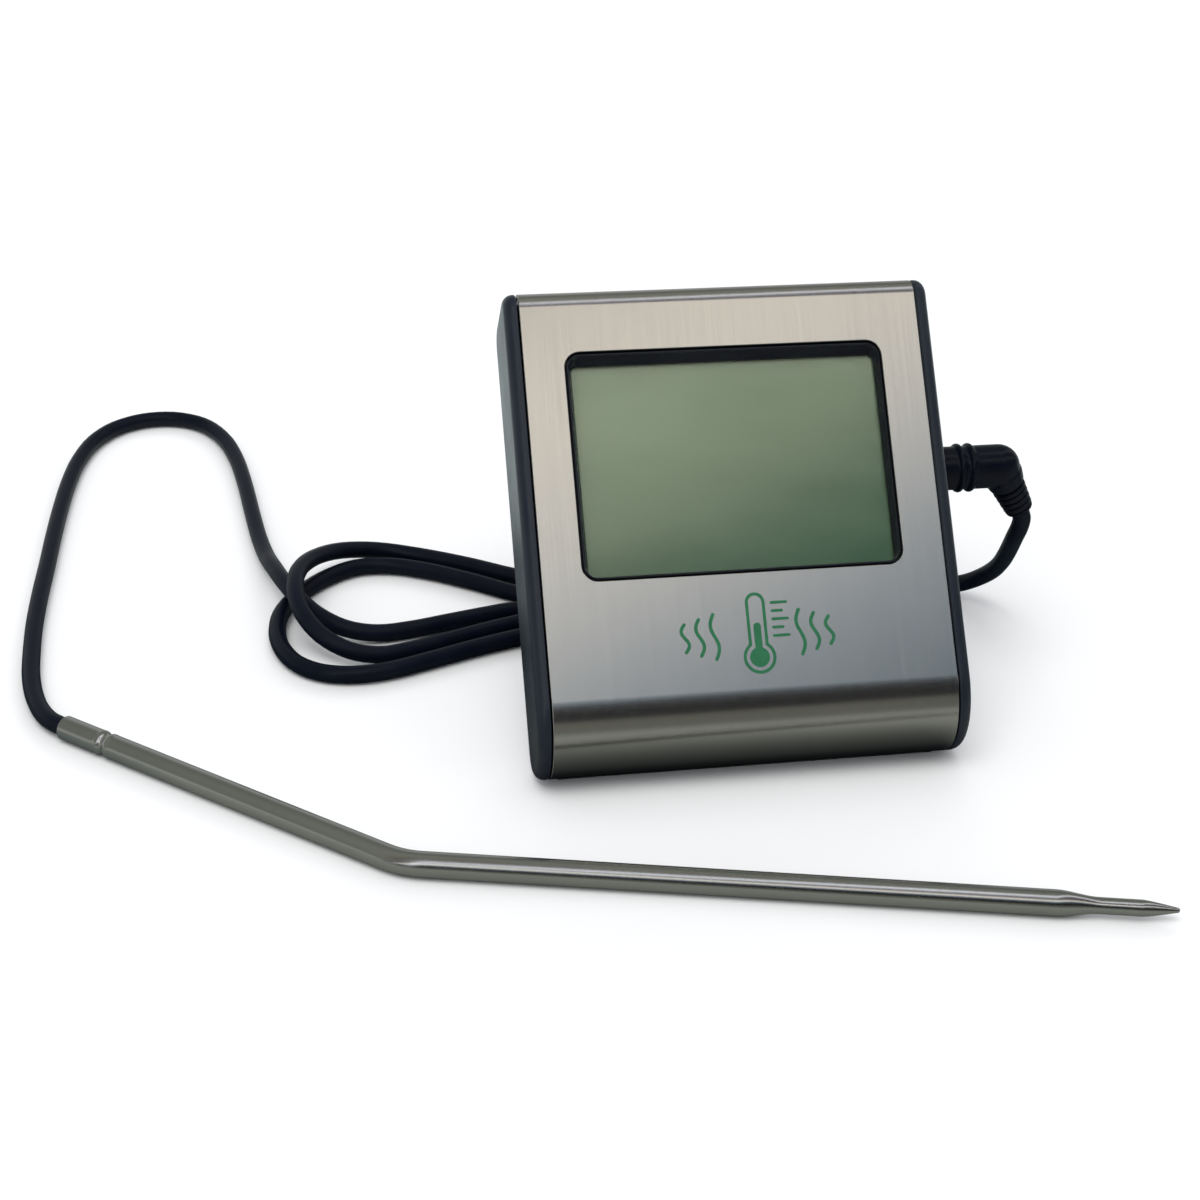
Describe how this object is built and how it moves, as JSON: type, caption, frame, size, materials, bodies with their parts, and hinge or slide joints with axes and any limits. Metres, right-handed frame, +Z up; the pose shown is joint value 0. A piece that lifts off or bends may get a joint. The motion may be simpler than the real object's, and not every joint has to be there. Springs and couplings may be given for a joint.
{
  "type": "digital meat thermometer",
  "caption": "Leaning table display unit with a steel face, a fold-out leg and a plug-in lead that ends in a bent steel temperature probe.",
  "frame": {"origin": "centre of the flat underside of the rubber foot strip, on the table", "axes": "+Z up, the display faces -Y, +X to the right seen from the front"},
  "size_m": [0.1918, 0.2056, 0.0728],
  "materials": {
    "steel_face": "brushed along the height",
    "probe_steel": "satin",
    "nickel": "plated",
    "black_plastic": "fine moulded grain",
    "gloss_black": "gloss",
    "rubber": "matte",
    "cord_rubber": "satin",
    "lens": "clear gloss",
    "lcd": "satin",
    "foil": "satin",
    "board": "solder mask",
    "component_grey": "matte"
  },
  "bodies": {
    "housing": {"front_panel": "steel_face", "front_chassis": "gloss_black", "left_end_cap": "black_plastic", "right_end_cap": "black_plastic", "rear_cover": "black_plastic", "case_screw_upper_left": "nickel", "case_screw_upper_right": "nickel", "case_screw_lower_left": "nickel", "case_screw_lower_right": "nickel", "magnet_left": "nickel", "magnet_right": "nickel", "display_lens": "lens", "display_bezel": "gloss_black", "lcd_glass": "lcd", "lcd_reflector": "foil", "zebra_strip_upper": "rubber", "zebra_strip_lower": "rubber", "circuit_board": "board", "chip_cover": "gloss_black", "buzzer": "gloss_black", "jack_socket": "gloss_black", "coin_cell": "nickel", "cell_contact_floor": "nickel", "cell_contact_side": "nickel", "slide_switch_body": "component_grey", "tact_switch_upper": "component_grey", "tact_switch_lower": "component_grey", "stand_hinge_pin": "nickel", "base_foot_strip": "rubber"},
    "stand": {"stand_leg": "black_plastic", "stand_foot_pad": "rubber"},
    "door": {"battery_door": "black_plastic"},
    "power_switch": {"slide_switch_knob": "black_plastic"},
    "upper_button": {"button_upper": "rubber"},
    "lower_button": {"button_lower": "rubber"},
    "lead": {"plug_body": "cord_rubber", "plug_strain_relief": "cord_rubber", "plug_pin": "nickel", "plug_lead": "cord_rubber", "probe_lead": "cord_rubber", "cord_hank": "cord_rubber"},
    "probe": {"probe_tube": "probe_steel", "probe_tip": "probe_steel", "probe_seal": "rubber", "sensor_wires": "component_grey", "thermistor_bead": "component_grey"}
  },
  "joints": [
    {"name": "stand_fold", "type": "hinge", "parent": "housing", "child": "stand", "pos_m": [0, 0.03225, 0.03937], "axis": [-1, 0, 0], "range_deg": [0, 41.5]},
    {"name": "door_hinge", "type": "hinge", "parent": "housing", "child": "door", "pos_m": [0, 0.03716, 0.04335], "axis": [-1, 0, 0], "range_deg": [0, 95]},
    {"name": "switch_slide", "type": "slide", "parent": "housing", "child": "power_switch", "axis": [1, 0, 0], "range_m": [0, 0.003]},
    {"name": "upper_button_press", "type": "slide", "parent": "housing", "child": "upper_button", "axis": [0, -0.766, 0.6428], "range_m": [0, 0.0008], "stiffness_N_per_m": 800, "springref_m": -0.0003},
    {"name": "lower_button_press", "type": "slide", "parent": "housing", "child": "lower_button", "axis": [0, -0.766, 0.6428], "range_m": [0, 0.0008], "stiffness_N_per_m": 800, "springref_m": -0.0003},
    {"name": "plug_pull", "type": "slide", "parent": "housing", "child": "lead", "axis": [1, 0, 0], "range_m": [0, 0.014]},
    {"name": "probe_lift", "type": "hinge", "parent": "lead", "child": "probe", "pos_m": [-0.119, 0.0231, 0.0044], "axis": [-0.3925, -0.9198, 0], "range_deg": [0, 50]}
  ]
}
